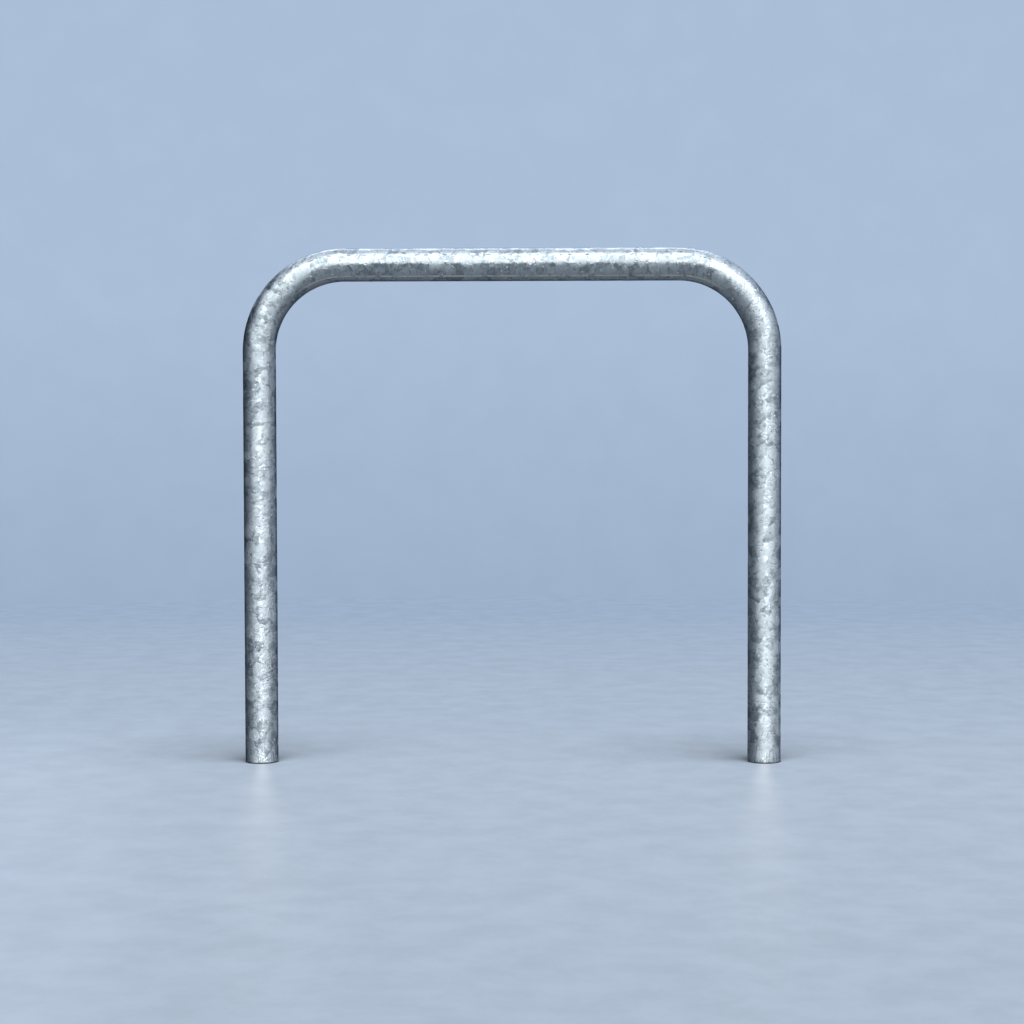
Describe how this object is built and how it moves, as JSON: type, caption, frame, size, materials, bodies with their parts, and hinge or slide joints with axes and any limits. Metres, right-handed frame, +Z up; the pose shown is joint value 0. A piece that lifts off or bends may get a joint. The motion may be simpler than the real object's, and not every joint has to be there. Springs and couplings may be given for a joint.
{
  "type": "hoop bike rack",
  "caption": "Hoop bike rack: a galvanised steel tube bent into an upside-down U, standing on a plastic insert in each foot.",
  "frame": {"origin": "on the floor, halfway between the two legs", "axes": "+X along the bar, +Y through the hoop, +Z up"},
  "size_m": [0.7854, 0.0494, 0.75],
  "materials": {
    "galvanised_steel": "hot-dip galvanised, satin with a patchy zinc spangle",
    "black_plastic": "moulded polyethylene, matt"
  },
  "bodies": {
    "root": {"hoop_tube": "galvanised_steel", "foot_insert_left": "black_plastic", "foot_insert_right": "black_plastic"}
  },
  "joints": []
}
